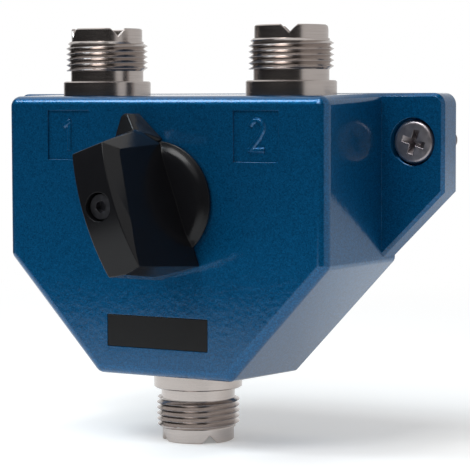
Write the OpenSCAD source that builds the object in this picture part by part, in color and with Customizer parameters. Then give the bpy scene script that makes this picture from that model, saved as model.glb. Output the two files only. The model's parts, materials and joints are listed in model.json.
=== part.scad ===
// Two-way coaxial antenna switch: a die-cast housing with three screw-on coaxial ports, and a pointer knob
// that turns a wiper between the two upper ports while it grounds the one that is left.
// X runs to the right, Y to the back and Z up. The origin is at the middle of the flat back face.

/* [Housing] */
// Width of the front face
housing_w = 69.2; // [66:0.1:76]
// Height of the front face
housing_h = 52.5; // [50:0.1:60]
// Depth from the front face to the back face
housing_d = 27.2; // [26.5:0.1:30]
// Height of the upright sides above the sloping corners
side_h = 30.8; // [28:0.1:33]
// Width of the flat floor at the front
floor_w = 29; // [27:0.1:32]
// How much wider each side is at the back than at the front
side_draft = 0.6; // [0.3:0.1:1.2]
// How much higher the roof is at the back than at the front
top_draft = 0.4; // [0.3:0.1:0.9]
// How much lower the floor is at the back than at the front
floor_draft = 1; // [0.6:0.1:1.4]
// Radius of the rounded front edges
front_r = 2; // [1:0.1:2.5]
// Radius of the housing's edges at the back
back_r = 1.4; // [0.8:0.1:2]
// Wall thickness
wall = 2.6; // [2.2:0.1:3]

/* [Mounting ears] */
// How far each ear stands out past the front face's side
ear_reach = 13; // [12:0.1:16]
// Thickness of the ears
ear_t = 5.5; // [4.5:0.1:7]
// Height of the ears' outer edges
ear_side_h = 18.2; // [16:0.1:21]
// Radius of the ears' upper corners
ear_r = 2.2; // [1:0.1:3]
// Width of the bevel round the ears' front edge
ear_bevel = 0.6; // [0.3:0.1:1]
// Distance of the mounting screws from the ears' outer edges
ear_screw_in = 6.3; // [5.8:0.1:7]
// Distance of the mounting screws below the ears' top
ear_screw_down = 9; // [7:0.1:10]

/* [Mounting screws] */
// Thread diameter of the mounting screws
mount_thread_d = 4; // [3:0.5:4]
// Head diameter of the mounting screws
mount_head_d = 8; // [6.5:0.1:8.2]
// Head height of the mounting screws
mount_head_h = 2.6; // [2:0.1:3]
// Length of the mounting screws under the head
mount_screw_l = 14; // [10:1:20]
// Depth of the counterbores for the heads
counterbore_depth = 3; // [2.4:0.1:3.4]

/* [Coaxial ports] */
// Distance of each upper port from the front face's side
port_in = 14.2; // [13.6:0.1:15]
// How far the upper seats stand above the front face's top edge
roof_pad = 0.6; // [0.5:0.1:1]
// How far the lower seat stands below the front face's bottom edge
floor_pad = 0.9; // [0.9:0.1:1.8]
// Diameter of the port flanges
flange_d = 16.9; // [16.6:0.1:18]
// Thickness of the port flanges
flange_t = 2.2; // [1.5:0.1:3]
// Diameter of the neck between flange and thread
neck_d = 14.1; // [13.9:0.1:14.6]
// Length of the neck
neck_l = 2; // [1:0.1:3]
// Outer diameter of the 24 threads per inch screw thread
thread_d = 15.875; // [15.7:0.005:16]
// Length of the screw thread
thread_l = 5.7; // [5:0.1:7]
// Diameter of the plain notched rim
rim_d = 13.7; // [13.4:0.1:14]
// Height of the rim
rim_h = 2.5; // [2:0.1:3.2]
// Width of each notch at the mouth
notch_w = 3; // [2:0.1:3.6]
// Depth of each notch
notch_depth = 1.5; // [1:0.1:1.8]
// Bore of the ports
port_bore_d = 12; // [11.6:0.1:12.4]
// Diameter of the mounting neck inside the housing
spigot_d = 13.9; // [13.6:0.1:14]
// Bore of the mounting neck
spigot_bore_d = 10; // [9:0.1:11]
// Bore of the slotted centre contacts
contact_bore_d = 4; // [3.9:0.05:4.1]
// Outer diameter of the centre contacts
contact_d = 5.6; // [5.2:0.1:6]
// Depth of the bore in the centre contacts
contact_bore_l = 10; // [8:0.5:11]
// Diameter of the contacts' tails
tail_d = 3; // [2.5:0.1:3.4]
// Distance of the contact tips below the rim
contact_recess = 1.2; // [0.8:0.1:2]
// Turn of port 1's notches
port_1_turn = 52; // [0:1:90]
// Turn of port 2's notches
port_2_turn = 25; // [0:1:90]
// Turn of the common port's notches
common_turn = 50; // [0:1:90]
// Width across the flats of the port nuts
nut_af = 17.6; // [17:0.1:18]
// Thickness of the port nuts
nut_t = 2.5; // [2:0.1:3]

/* [Selector] */
// Height of the shaft above the middle of the front face
shaft_z = 6.7; // [6:0.1:7.2]
// Turn of the knob to each side of upright
throw = 19.3; // [18:0.1:21]
// Diameter of the shaft
shaft_d = 6; // [5.6:0.1:6.3]
// Depth of the flat on the shaft
shaft_flat = 0.8; // [0.5:0.1:1]
// Outer diameter of the shaft's bush
bush_d = 9; // [8.4:0.1:9.6]
// Length of the bush
bush_l = 6.6; // [6:0.1:7]
// Diameter of the detent wheel
detent_d = 18; // [17:0.2:18.6]
// Thickness of the detent wheel
detent_t = 1.5; // [1:0.1:1.8]
// Depth of the notches in the detent wheel
detent_notch = 1.2; // [0.8:0.1:1.4]
// Diameter of the stop pins
stop_pin_d = 2.5; // [2:0.1:3]
// Thickness of the wiper blades
blade_t = 0.8; // [0.6:0.05:0.9]
// Thickness of the fixed contact strips
strip_t = 1; // [0.8:0.05:1.2]
// Distance from the shaft to the fixed contacts
sweep_r = 12; // [11.6:0.1:12.4]

/* [Knob] */
// Height of the knob's crown above the front face
knob_h = 20.6; // [18:0.1:23]
// Gap between the knob's skirt and the front face
knob_gap = 0.4; // [0.3:0.1:0.8]
// Diameter of the knob's round skirt
skirt_d = 22.4; // [21:0.1:24]
// Thickness of the skirt
skirt_t = 1.5; // [1.2:0.1:2.4]
// Width of the skirt's bevelled edge
skirt_bevel = 0.9; // [0.4:0.1:1.2]
// Distance from the shaft to the upper end of the grip's front
grip_up = 10.9; // [10:0.1:12]
// Distance from the shaft to the lower end of the grip's front
grip_down = 12.2; // [11.6:0.1:13]
// Width of the grip's front
grip_w = 6.8; // [6.5:0.1:8]
// Height of the grip's crown over its ends
grip_crown = 2.1; // [1:0.1:2.6]
// Width of the grip below its side bevels
side_w = 8.6; // [8.2:0.1:9.4]
// Depth of the side bevels at the upper end
bevel_l = 3.9; // [2.5:0.1:5]
// Width of the grip at its foot
foot_w = 9; // [9:0.1:11]
// Distance from the shaft to the grip's tail at its foot
tail_l = 14; // [12.8:0.1:15]
// Distance from the shaft to the tip of the pointer
pointer_l = 17.3; // [16:0.1:19]
// Height of the pointer at its tip
tip_h = 3.2; // [2.4:0.1:4]
// Distance from the shaft to the place where the pointer leaves the grip
nose_start = 13.5; // [13:0.1:14]
// Height of the pointer where it leaves the grip
nose_h = 5; // [4.2:0.1:6]
// Width of the pointer where it leaves the grip
nose_base_w = 4.4; // [3.6:0.1:5]
// Diameter of the recess for the knob's screw
knob_recess_d = 5.2; // [5:0.1:5.6]

/* [Front face] */
// Width of the bare nameplate
plate_w = 22; // [16:1:26]
// Height of the bare nameplate
plate_h = 6.1; // [4:0.1:8]
// Depth of the nameplate's recess
plate_recess = 0.5; // [0.3:0.1:0.8]
// Height of the nameplate's middle above the front face's bottom edge
plate_up = 8.45; // [7.25:0.1:11]
// How far the nameplate is left of the middle
plate_left = 0.8; // [0:0.1:2]
// Side of the square panels below the upper ports
panel_side = 9.4; // [8:0.1:10]
// Depth of the square panels
panel_depth = 0.35; // [0.2:0.05:0.6]
// Distance of the square panels' middle below the front face's top edge
panel_down = 7.35; // [6.95:0.1:8.25]

/* [Rear cover] */
// Thickness of the rear cover
cover_t = 2; // [1.6:0.1:2.4]
// Depth of the rear cover below the back face
cover_sink = 0.2; // [0.1:0.05:0.5]
// Width of the ledge that the cover rests on
ledge = 1.3; // [1:0.1:1.6]
// Thread diameter of the cover's screws
cover_thread_d = 3; // [2:0.5:3]
// Diameter of the screw bosses inside the housing
boss_d = 6; // [5.4:0.1:6.2]

/* [Hidden] */
$fn = 64;
eps = 0.01;

// Clearances
press_gap = 0.02;
seat_gap = 0.05;
run_gap = 0.05;
wipe_gap = 0.3;
stop_gap = 0.25;

// Colours
paint = "#0d4a78";
nickel = "#b9b3aa";
black = "#17171a";
steel = "#8d8c8a";
brass = "#c2a35a";
white = "#e9e7df";
bronze = "#b07a45";

// Levels along Y
front_y = -housing_d;
inner_front_y = front_y + wall;
cover_y = -cover_sink - cover_t;
port_y = -housing_d / 2;

// Places along X
port_x = housing_w / 2 - port_in;

// Levels along Z
top_z = housing_h / 2;
bottom_z = -housing_h / 2;
roof_seat_z = top_z + roof_pad;
floor_seat_z = bottom_z - floor_pad;
roof_inner_z = top_z - wall;
floor_inner_z = bottom_z + wall;
side_z = top_z - side_h;
panel_z = top_z - panel_down;
plate_z = bottom_z + plate_up;
ear_top_z = top_z + top_draft;
ear_low_z = ear_top_z - ear_side_h;
ear_x = housing_w / 2 + ear_reach;
mount_x = ear_x - ear_screw_in;
mount_z = ear_top_z - ear_screw_down;

// Layers of the switch along Y, from the bush to the rear clip
clip_t = 0.6;
clip_y = front_y + bush_l + 0.1;
detent_y = clip_y + clip_t + 0.2;
strip_y = port_y - strip_t / 2;
ground_y = strip_y - wipe_gap - blade_t;
signal_y = strip_y + strip_t + wipe_gap;
rotor_t = 4;
rear_clip_y = signal_y + blade_t + rotor_t + 0.1;
shaft_rear_y = rear_clip_y + clip_t + 1.6;
knob_screw_d = 2.5;
knob_screw_l = 8;
knob_seat_h = knob_h - grip_crown - 2.2;
shaft_front_y = front_y - knob_seat_h + 3;

// Contacts and rotor
strip_low_z = shaft_z + sweep_r * cos(throw) - 2.2;
strip_h = 3;
strip_end_x = 2.7;
rotor_sleeve_d = 9;
rotor_d = 15;
rivet_d = 1.5;
rivet_r = 5.8;

// Corners of a port-side outline, anticlockwise seen from the front, starting at the upper left
function outline(half_w, top, side, half_floor, bottom) =
    [[-half_w, top], [-half_w, side], [-half_floor, bottom], [half_floor, bottom], [half_w, side], [half_w, top]];

function unit(v) = v / norm(v);

// The outline moved inwards by d, or outwards where d is negative
function inset(points, d) = [
    for (i = [0 : len(points) - 1])
        let (
            n = len(points),
            before = unit(points[i] - points[(i + n - 1) % n]),
            after = unit(points[(i + 1) % n] - points[i]),
            a = [-before[1], before[0]],
            b = [-after[1], after[0]]
        )
        points[i] + d * (a + b) / (1 + a * b)
];

front_outline = outline(housing_w / 2, top_z, side_z, floor_w / 2, bottom_z);

// The chamfers end on the same slope as the ears, so the back outline follows the ears' lower edges
back_slope = (ear_low_z - (bottom_z - floor_draft)) / (ear_x - (floor_w / 2 - side_draft));
back_half_w = housing_w / 2 + side_draft;
back_outline = outline(back_half_w, top_z + top_draft, ear_low_z - (ear_x - back_half_w) * back_slope,
    floor_w / 2 - side_draft, bottom_z - floor_draft);

// The ears end on the sloping corners
ear_outline = [[-ear_x, ear_top_z], [-ear_x, ear_low_z], [-floor_w / 2, bottom_z + 2], [floor_w / 2, bottom_z + 2],
    [ear_x, ear_low_z], [ear_x, ear_top_z]];

cavity_outline = inset(front_outline, wall);
cover_outline = inset(cavity_outline, -ledge);

// Screw places on the cover: at the sides and at the sloping corners
boss_side = [housing_w / 2 - wall - boss_d / 2 + 0.4, 13.5];
boss_low = [floor_w / 2 + 0.8, bottom_z + wall + 6.6];
boss_places = [boss_side, [-boss_side[0], boss_side[1]], boss_low, [-boss_low[0], boss_low[1]]];

// A slab with a flat outline in X and Z between two levels of Y
module slab(points, from, to) {
    translate([0, to, 0]) rotate([90, 0, 0]) linear_extrude(to - from) polygon(points);
}

// A round bar along Y
module rod(d, from, to, at = [0, 0]) {
    translate([at[0], to, at[1]]) rotate([90, 0, 0]) cylinder(h = to - from, d = d);
}

// A block given by its lowest and highest corners
module block(low, high) {
    translate(low) cube(high - low);
}

// A round bar along Y with the shaft's flat, larger by gap all round
module d_bar(d, from, to, gap = 0) {
    intersection() {
        rod(d + 2 * gap, from, to, [0, shaft_z]);
        block([-d, from - 1, shaft_z - d], [d, to + 1, shaft_z + d / 2 - shaft_flat + gap]);
    }
}

// Turns the selector's parts with the pointer: upright is drawn, and the object rests at port 1
module turned() {
    translate([0, 0, shaft_z]) rotate([0, -throw, 0]) translate([0, 0, -shaft_z]) children();
}

// ---- Housing ----

module rounded_shell() {
    hull() {
        for (p = inset(front_outline, front_r))
            translate([p[0], front_y + front_r, p[1]]) sphere(r = front_r, $fn = 32);
        for (p = inset(back_outline, back_r))
            rod(2 * back_r, -eps, 0, p, $fn = 32);
    }
}

module ears() {
    hull() {
        for (side = [-1, 1]) {
            rod(2 * ear_r, -ear_t + ear_bevel, 0, [side * (ear_x - ear_r), ear_top_z - ear_r], $fn = 32);
            rod(2 * (ear_r - ear_bevel), -ear_t, 0, [side * (ear_x - ear_r), ear_top_z - ear_r], $fn = 32);
        }
        slab(ear_outline_low(0), -ear_t + ear_bevel, 0);
        slab(ear_outline_low(ear_bevel), -ear_t, 0);
    }
}

// The ears' outline below their rounded corners, drawn in by d
function ear_outline_low(d) =
    let (p = inset(ear_outline, d))
    [[p[0][0], ear_top_z - ear_r], p[1], p[2], p[3], p[4], [p[5][0], ear_top_z - ear_r]];

module bosses() {
    for (p = boss_places) rod(boss_d, inner_front_y - eps, cover_y, p);
    rod(bush_d + 5, inner_front_y - eps, front_y + bush_l, [0, shaft_z]);
    for (side = [-1, 1])
        rod(detent_post_d, inner_front_y - eps, detent_post_y, [side * detent_post_x, detent_post_z]);
}

module housing() {
    color(paint) difference() {
        union() {
            difference() {
                union() {
                    rounded_shell();
                    ears();
                    for (side = [-1, 1])
                        translate([side * port_x, port_y, top_z - 1]) cylinder(h = roof_pad + 1, d = flange_d);
                    translate([0, port_y, floor_seat_z]) cylinder(h = floor_pad + 1, d = flange_d);
                }
                slab(cavity_outline, inner_front_y, 1);
                slab(inset(cover_outline, -seat_gap), cover_y, 1);
            }
            bosses();
        }
        // the ports' holes
        for (side = [-1, 1])
            translate([side * port_x, port_y, roof_inner_z - 1]) cylinder(h = wall + roof_pad + 2, d = port_hole_d);
        translate([0, port_y, floor_seat_z - 1]) cylinder(h = wall + floor_pad + 2, d = port_hole_d);
        // the bush and the stop pins
        rod(bush_d + 2 * press_gap, front_y - 1, 0, [0, shaft_z]);
        for (p = stop_places) rod(stop_pin_d + 2 * press_gap, stop_pin_y, inner_front_y + 1, p);
        // screw holes
        for (p = boss_places) rod(cover_thread_d, cover_y - cover_screw_l, 1, p);
        for (side = [-1, 1]) {
            rod(detent_screw_d, detent_post_y - detent_screw_l - 0.4, detent_post_y + 1, [side * detent_post_x, detent_post_z]);
            rod(mount_thread_d + 0.4, -ear_t - 1, 1, [side * mount_x, mount_z]);
            rod(mount_head_d + 1, -ear_t - 1, -ear_t + counterbore_depth, [side * mount_x, mount_z]);
        }
        // the nameplate's recess and the square panels
        block([-plate_left - plate_w / 2, front_y - 1, plate_z - plate_h / 2],
            [plate_w / 2 - plate_left, front_y + plate_recess, plate_z + plate_h / 2]);
        for (side = [-1, 1])
            block([side * port_x - panel_side / 2, front_y - 1, panel_z - panel_side / 2],
                [side * port_x + panel_side / 2, front_y + panel_depth, panel_z + panel_side / 2]);
    }
}

port_hole_d = spigot_d + 2 * seat_gap;
cover_screw_l = 6;
cover_head_d = 5.6;
cover_head_h = 1.4;

module rear_cover() {
    color(paint) difference() {
        slab(cover_outline, cover_y, cover_y + cover_t);
        for (p = boss_places) {
            rod(cover_thread_d + 0.3, cover_y - 1, 1, p);
            translate([p[0], cover_y + cover_t - cover_head_h, p[1]]) rotate([-90, 0, 0])
                cylinder(h = cover_head_h + eps, d1 = cover_thread_d + 0.3, d2 = cover_head_d + 0.3);
        }
    }
}

module cover_screws() {
    color(steel) for (p = boss_places) difference() {
        union() {
            rod(cover_thread_d - 2 * press_gap, cover_y - cover_screw_l + 0.5, cover_y + cover_t - cover_head_h + 0.1, p);
            translate([p[0], cover_y + cover_t - cover_head_h, p[1]]) rotate([-90, 0, 0])
                cylinder(h = cover_head_h, d1 = cover_thread_d - 2 * press_gap, d2 = cover_head_d);
        }
        for (turn = [0, 90]) translate([p[0], cover_y + cover_t, p[1]]) rotate([0, turn, 0])
            cube([3, 1.6, 0.7], center = true);
    }
}

module mounting_screws() {
    seat_y = -ear_t + counterbore_depth;
    color(steel) for (side = [-1, 1]) difference() {
        union() {
            // the shank in the ear is thinner than the thread behind it
            rod(mount_thread_d - 0.6, seat_y - eps, thread_start_y, [side * mount_x, mount_z]);
            rod(mount_thread_d, thread_start_y - eps, seat_y + mount_screw_l - 0.6, [side * mount_x, mount_z]);
            translate([side * mount_x, seat_y + mount_screw_l - 0.6, mount_z]) rotate([-90, 0, 0])
                cylinder(h = 0.6, d1 = mount_thread_d, d2 = mount_thread_d - 1.2);
            // pan head: a flat disc with a rounded edge
            translate([side * mount_x, seat_y, mount_z]) rotate([90, 0, 0]) rotate_extrude() polygon(concat(
                [[0, 0], [mount_head_d / 2, 0]],
                [for (a = [0 : 15 : 90]) [mount_head_d / 2 - pan_r + pan_r * cos(a), mount_head_h - pan_r + pan_r * sin(a)]],
                [[0, mount_head_h]]));
        }
        translate([side * mount_x, seat_y - mount_head_h, mount_z]) for (turn = [17, 107]) rotate([0, turn, 0])
            block([-2.2, -1, -0.45], [2.2, 1.5, 0.45]);
    }
}

pan_r = 1.2;
thread_start_y = 0.3;

module label_plate() {
    plate_gap = 0.1;
    color(black) block([-plate_left - plate_w / 2 + plate_gap, front_y + 0.05, plate_z - plate_h / 2 + plate_gap],
        [plate_w / 2 - plate_left - plate_gap, front_y + plate_recess, plate_z + plate_h / 2 - plate_gap]);
}

// ---- Coaxial ports: drawn from their seat upwards, then set in place ----

stack_l = flange_t + neck_l + thread_l + rim_h;
shelf_z = flange_t + 0.6;
contact_tip_z = stack_l - contact_recess;
edge = 0.3;

module at_port_1(turn = 0) translate([-port_x, port_y, roof_seat_z]) rotate([0, 0, turn]) children();
module at_port_2(turn = 0) translate([port_x, port_y, roof_seat_z]) rotate([0, 0, turn]) children();
module at_common(turn = 0) translate([0, port_y, floor_seat_z]) rotate([0, 0, turn]) mirror([0, 0, 1]) children();

roof_neck_l = roof_pad + wall + nut_t + 0.5;
floor_neck_l = floor_pad + wall + nut_t + 0.5;

module port_shell(neck) {
    color(nickel) difference() {
        rotate_extrude() polygon([
            [spigot_bore_d / 2, -neck], [spigot_d / 2 - edge, -neck], [spigot_d / 2, -neck + edge], [spigot_d / 2, 0],
            [flange_d / 2, 0], [flange_d / 2, flange_t - edge], [flange_d / 2 - edge, flange_t],
            [neck_d / 2, flange_t], [neck_d / 2, flange_t + neck_l],
            [thread_d / 2 - edge, flange_t + neck_l], [thread_d / 2, flange_t + neck_l + edge],
            [thread_d / 2, stack_l - rim_h - edge], [thread_d / 2 - edge, stack_l - rim_h],
            [rim_d / 2, stack_l - rim_h], [rim_d / 2, stack_l - edge], [rim_d / 2 - edge, stack_l],
            [port_bore_d / 2, stack_l], [port_bore_d / 2, shelf_z], [spigot_bore_d / 2, shelf_z]]);
        for (turn = [0, 90]) rotate([90, 0, turn]) translate([0, stack_l, -rim_d])
            linear_extrude(2 * rim_d) polygon([[-notch_w / 2, 0], [0, -notch_depth], [notch_w / 2, 0], [notch_w / 2, 1], [-notch_w / 2, 1]]);
    }
}

module port_insulator(neck) {
    color(white) rotate_extrude() polygon([
        [tail_d / 2 + press_gap, -neck - 0.8], [spigot_bore_d / 2 - seat_gap, -neck - 0.8],
        [spigot_bore_d / 2 - seat_gap, shelf_z], [port_bore_d / 2 - seat_gap, shelf_z],
        [port_bore_d / 2 - seat_gap, shelf_z + 1.6], [contact_d / 2 + press_gap, shelf_z + 1.6],
        [contact_d / 2 + press_gap, -1.5], [tail_d / 2 + press_gap, -1.5]]);
}

module port_contact(neck) {
    color(brass) difference() {
        union() {
            translate([0, 0, -1.5]) cylinder(h = contact_tip_z + 1.5, d = contact_d);
            translate([0, 0, -neck - tail_out]) cylinder(h = neck + tail_out, d = tail_d);
        }
        translate([0, 0, contact_tip_z - contact_bore_l]) cylinder(h = contact_bore_l + 1, d = contact_bore_d);
        for (turn = [45, 135]) rotate([0, 0, turn]) block([-contact_d, -0.25, contact_tip_z - 6.5], [contact_d, 0.25, contact_tip_z + 1]);
    }
}

module port_nut(neck) {
    color(nickel) translate([0, 0, -neck + 0.5]) difference() {
        rotate([0, 0, 30]) cylinder(h = nut_t, d = nut_af / cos(30), $fn = 6);
        translate([0, 0, -1]) cylinder(h = nut_t + 2, d = spigot_d + 2 * press_gap);
    }
}

tail_out = 3;

module port_1_shell() at_port_1(port_1_turn) port_shell(roof_neck_l);
module port_2_shell() at_port_2(port_2_turn) port_shell(roof_neck_l);
module common_shell() at_common(common_turn) port_shell(floor_neck_l);
module port_1_insulator() at_port_1() port_insulator(roof_neck_l);
module port_2_insulator() at_port_2() port_insulator(roof_neck_l);
module common_insulator() at_common() port_insulator(floor_neck_l);
module port_1_contact() at_port_1(port_1_turn) port_contact(roof_neck_l);
module port_2_contact() at_port_2(port_2_turn) port_contact(roof_neck_l);
module common_contact() at_common(common_turn) port_contact(floor_neck_l);
module port_1_nut() at_port_1() port_nut(roof_neck_l);
module port_2_nut() at_port_2() port_nut(roof_neck_l);
module common_nut() at_common() port_nut(floor_neck_l);

// ---- Fixed contact strips: a tab round the contact's tail and a flat run to the blade ----

tab_w = 6;
tab_z = roof_seat_z - roof_neck_l - 1.2 - strip_t;

module port_strip(side) {
    color(brass) difference() {
        union() {
            translate([side * port_x, port_y, tab_z]) cylinder(h = strip_t, d = tab_w);
            block([min(side * port_x, side * (port_x - tab_w)), port_y - tab_w / 2, tab_z],
                [max(side * port_x, side * (port_x - tab_w)), port_y + tab_w / 2, tab_z + strip_t]);
            block([min(side * strip_end_x, side * (port_x - tab_w + strip_t)), strip_y, strip_low_z],
                [max(side * strip_end_x, side * (port_x - tab_w + strip_t)), strip_y + strip_t, strip_low_z + strip_h]);
            block([min(side * (port_x - tab_w), side * (port_x - tab_w + strip_t)), port_y - tab_w / 2, strip_low_z],
                [max(side * (port_x - tab_w), side * (port_x - tab_w + strip_t)), port_y + tab_w / 2, tab_z + strip_t]);
        }
        translate([side * port_x, port_y, tab_z - 1]) cylinder(h = strip_t + 2, d = tail_d + 2 * press_gap);
    }
}

module port_1_strip() port_strip(-1);
module port_2_strip() port_strip(1);

common_tab_z = floor_seat_z + floor_neck_l + 1.2;
pad_w = 11;
pad_h = 4.4;
pad_top_z = shaft_z - rotor_d / 2 - 0.4;

module common_strip() {
    color(brass) difference() {
        union() {
            translate([0, port_y, common_tab_z]) cylinder(h = strip_t, d = tab_w);
            block([-tab_w / 2, port_y - tab_w / 2 - 1.5, common_tab_z], [tab_w / 2, port_y, common_tab_z + strip_t]);
            // the run rises in front of the tail, then steps back to the blade's plane
            block([-tab_w / 2, port_y - tab_w / 2 - 1.5, common_tab_z], [tab_w / 2, port_y - tab_w / 2 - 1.5 + strip_t, run_top_z]);
            block([-tab_w / 2, port_y - tab_w / 2 - 1.5, run_top_z - strip_t], [tab_w / 2, strip_y + strip_t, run_top_z]);
            block([-tab_w / 2, strip_y, run_top_z - strip_t], [tab_w / 2, strip_y + strip_t, pad_top_z]);
            block([-pad_w / 2, strip_y, pad_top_z - pad_h], [pad_w / 2, strip_y + strip_t, pad_top_z]);
        }
        translate([0, port_y, common_tab_z - 1]) cylinder(h = strip_t + 2, d = tail_d + 2 * press_gap);
    }
}

run_top_z = common_tab_z + 6;

// ---- Bush, stops and detent ----

module shaft_bush() {
    color(brass) difference() {
        rod(bush_d, front_y, front_y + bush_l, [0, shaft_z]);
        rod(shaft_d + 2 * run_gap, front_y - 1, 0, [0, shaft_z]);
    }
}

stop_r = 11;
lug_w = 4;
lug_r = 12.2;
stop_angle = throw + asin((lug_w / 2 + stop_pin_d / 2 + stop_gap) / stop_r);
stop_places = [for (side = [-1, 1]) [side * stop_r * sin(stop_angle), shaft_z + stop_r * cos(stop_angle)]];
stop_pin_y = front_y + 1;

module stop_pins() {
    color(steel) for (p = stop_places) rod(stop_pin_d, stop_pin_y, detent_y + detent_t + 0.4, p);
}

spring_t = 0.5;
spring_w = 3.4;
nose_r = 1.4;
nose_w = 7;
detent_post_d = 5.6;
detent_post_x = 14;
detent_post_z = shaft_z - detent_d / 2 - 3.2;
detent_post_y = detent_y - 0.9;
detent_screw_d = 2;
detent_screw_l = 3.6;
detent_head_d = 4.2;
detent_head_h = 1.2;
spring_z = detent_post_z;

// A leaf spring with a pressed nose that rests in the wheel's notch, and a lug at each end
module detent_spring() {
    nose_z = shaft_z - detent_d / 2 + detent_notch - 0.15;
    from = detent_post_y;
    color(bronze) difference() {
        union() {
            for (side = [-1, 1]) rod(detent_post_d, from, from + spring_t, [side * detent_post_x, detent_post_z]);
            // the leaf and its nose, as one bent strip
            slab(concat(
                [[-detent_post_x, spring_z], [-nose_w / 2, spring_z]],
                [for (a = [150 : -20 : 30]) [nose_r * cos(a), nose_z - nose_r + nose_r * sin(a)]],
                [[nose_w / 2, spring_z], [detent_post_x, spring_z]],
                [[detent_post_x, spring_z - spring_t], [nose_w / 2 + 0.2, spring_z - spring_t]],
                [for (a = [30 : 20 : 150]) [(nose_r - spring_t) * cos(a), nose_z - nose_r + (nose_r - spring_t) * sin(a)]],
                [[-nose_w / 2 - 0.2, spring_z - spring_t], [-detent_post_x, spring_z - spring_t]]),
                from, from + spring_w);
        }
        for (side = [-1, 1]) rod(detent_screw_d + 0.2, from - 1, from + spring_w + 1, [side * detent_post_x, detent_post_z]);
        for (side = [-1, 1]) rod(detent_head_d + 0.4, from + spring_t, from + spring_w + 1, [side * detent_post_x, detent_post_z]);
    }
}

module detent_screws() {
    color(steel) for (side = [-1, 1]) {
        rod(detent_screw_d - 2 * press_gap, detent_post_y - detent_screw_l, detent_post_y + spring_t + eps, [side * detent_post_x, detent_post_z]);
        rod(detent_head_d, detent_post_y + spring_t, detent_post_y + spring_t + detent_head_h, [side * detent_post_x, detent_post_z]);
    }
}

// ---- Selector ----

module shaft() {
    color(steel) turned() difference() {
        union() {
            rod(shaft_d, front_y - 0.2, clip_y + clip_t, [0, shaft_z]);
            d_bar(shaft_d, shaft_front_y, shaft_rear_y);
        }
        for (y = [clip_y - 0.05, rear_clip_y - 0.05]) difference() {
            rod(shaft_d + 2, y, y + clip_t + 0.1, [0, shaft_z]);
            rod(shaft_d - 1, y - 1, y + clip_t + 1, [0, shaft_z]);
        }
        rod(knob_screw_d, shaft_front_y - 1, shaft_front_y + knob_screw_l, [0, shaft_z]);
    }
}

module clip(y) {
    color(steel) turned() difference() {
        rod(shaft_d + 3, y, y + clip_t, [0, shaft_z]);
        rod(shaft_d - 1 + 2 * press_gap, y - 1, y + clip_t + 1, [0, shaft_z]);
        block([-1.6, y - 1, shaft_z], [1.6, y + clip_t + 1, shaft_z + shaft_d]);
    }
}

module front_clip() clip(clip_y);
module rear_clip() clip(rear_clip_y);

module detent_wheel() {
    color(brass) turned() difference() {
        union() {
            rod(detent_d, detent_y, detent_y + detent_t, [0, shaft_z]);
            rod(10, detent_y + detent_t - eps, ground_y, [0, shaft_z]);
            // the lug that the stop pins catch
            block([-lug_w / 2, detent_y, shaft_z], [lug_w / 2, detent_y + detent_t, shaft_z + lug_r]);
        }
        d_bar(shaft_d, detent_y - 1, ground_y + 1, seat_gap);
        for (side = [-1, 1]) translate([0, 0, shaft_z]) rotate([0, 180 + side * throw, 0])
            rod(2 * (nose_r + 0.2), detent_y - 1, detent_y + detent_t + 1, [0, detent_d / 2 - detent_notch + nose_r + 0.2 - 0.15]);
    }
}

// A ring on the bare shaft with two arms: the one over the port that is left connects it to the housing
module ground_blade() {
    color(brass) turned() difference() {
        union() {
            rod(12, ground_y, ground_y + blade_t, [0, shaft_z]);
            for (side = [-1, 1]) translate([0, 0, shaft_z]) rotate([0, 2 * side * throw, 0])
                arm(sweep_r + 1.6, 3, ground_y);
        }
        d_bar(shaft_d, ground_y - 1, ground_y + blade_t + 1, seat_gap);
    }
}

// A flat arm with a round end, pointing up from the shaft
module arm(l, w, y) {
    block([-w / 2, y, 4.6], [w / 2, y + blade_t, l - w / 2]);
    rod(w, y, y + blade_t, [0, l - w / 2]);
}

module signal_blade() {
    color(brass) turned() difference() {
        union() {
            rod(rotor_d - 0.6, signal_y, signal_y + blade_t, [0, shaft_z]);
            translate([0, 0, shaft_z]) {
                arm(sweep_r + 1.6, 3.4, signal_y);
                rotate([0, 180, 0]) arm(rotor_d / 2 + 4.2, 3.4, signal_y);
            }
        }
        rod(rotor_sleeve_d + 2 * seat_gap, signal_y - 1, signal_y + blade_t + 1, [0, shaft_z]);
        for (side = [-1, 1]) rod(rivet_d + 2 * press_gap, signal_y - 1, signal_y + blade_t + 1, [side * rivet_r, shaft_z]);
    }
}

module rotor() {
    color(white) turned() difference() {
        union() {
            rod(rotor_sleeve_d, ground_y + blade_t, signal_y + blade_t, [0, shaft_z]);
            rod(rotor_d, signal_y + blade_t, signal_y + blade_t + rotor_t, [0, shaft_z]);
        }
        d_bar(shaft_d, ground_y - 1, 0, seat_gap);
        for (side = [-1, 1]) rod(rivet_d + 2 * press_gap, signal_y, 0, [side * rivet_r, shaft_z]);
    }
}

module blade_rivets() {
    color(brass) turned() for (side = [-1, 1]) {
        rod(rivet_d, signal_y - 0.1, signal_y + blade_t + rotor_t + 0.1, [side * rivet_r, shaft_z]);
        rod(2.4, signal_y - 0.2, signal_y, [side * rivet_r, shaft_z]);
        rod(2.4, signal_y + blade_t + rotor_t, signal_y + blade_t + rotor_t + 0.4, [side * rivet_r, shaft_z]);
    }
}

// ---- Knob: points are along the pointer, across it, and out from the front face ----

function knob_point(along, across, out) = [across, front_y - out, shaft_z + along];

module corner(p) translate(p) cube(0.02, center = true);

end_h = knob_h - grip_crown;

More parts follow.
